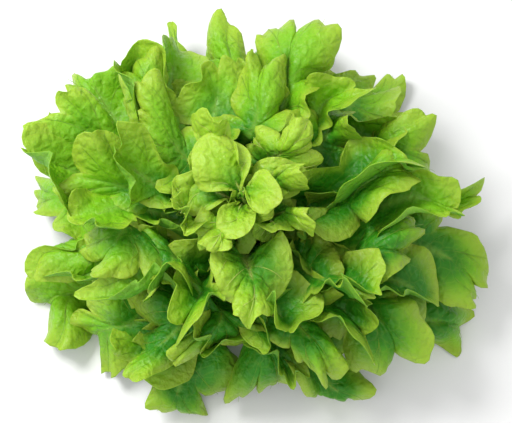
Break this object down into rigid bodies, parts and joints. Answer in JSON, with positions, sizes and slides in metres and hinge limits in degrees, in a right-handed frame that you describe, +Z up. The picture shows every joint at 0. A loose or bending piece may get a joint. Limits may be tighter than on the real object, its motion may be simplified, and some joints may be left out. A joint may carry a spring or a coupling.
{
  "type": "head of endive",
  "caption": "Whole head of green endive: rings of lobed, waved leaves arching out from a short cut stem round a pale folded heart.",
  "frame": {"origin": "middle of the stem's flat cut face, which is level with the surface that the head stands on", "axes": "+Z up along the stem, +X to the right and +Y to the back as the picture sees the head"},
  "size_m": [0.3072, 0.2759, 0.1337],
  "materials": {
    "stem_flesh": "matt, moist cream-green plant flesh",
    "heart_leaf": "pale yellow-green leaf, ribbed, softly glossy",
    "green_leaf": "fresh green leaf, blistered between its veins, softly glossy"
  },
  "bodies": {
    "root": {"stem": "stem_flesh", "heart_leaves": "heart_leaf", "green_leaves": "green_leaf"}
  },
  "joints": []
}
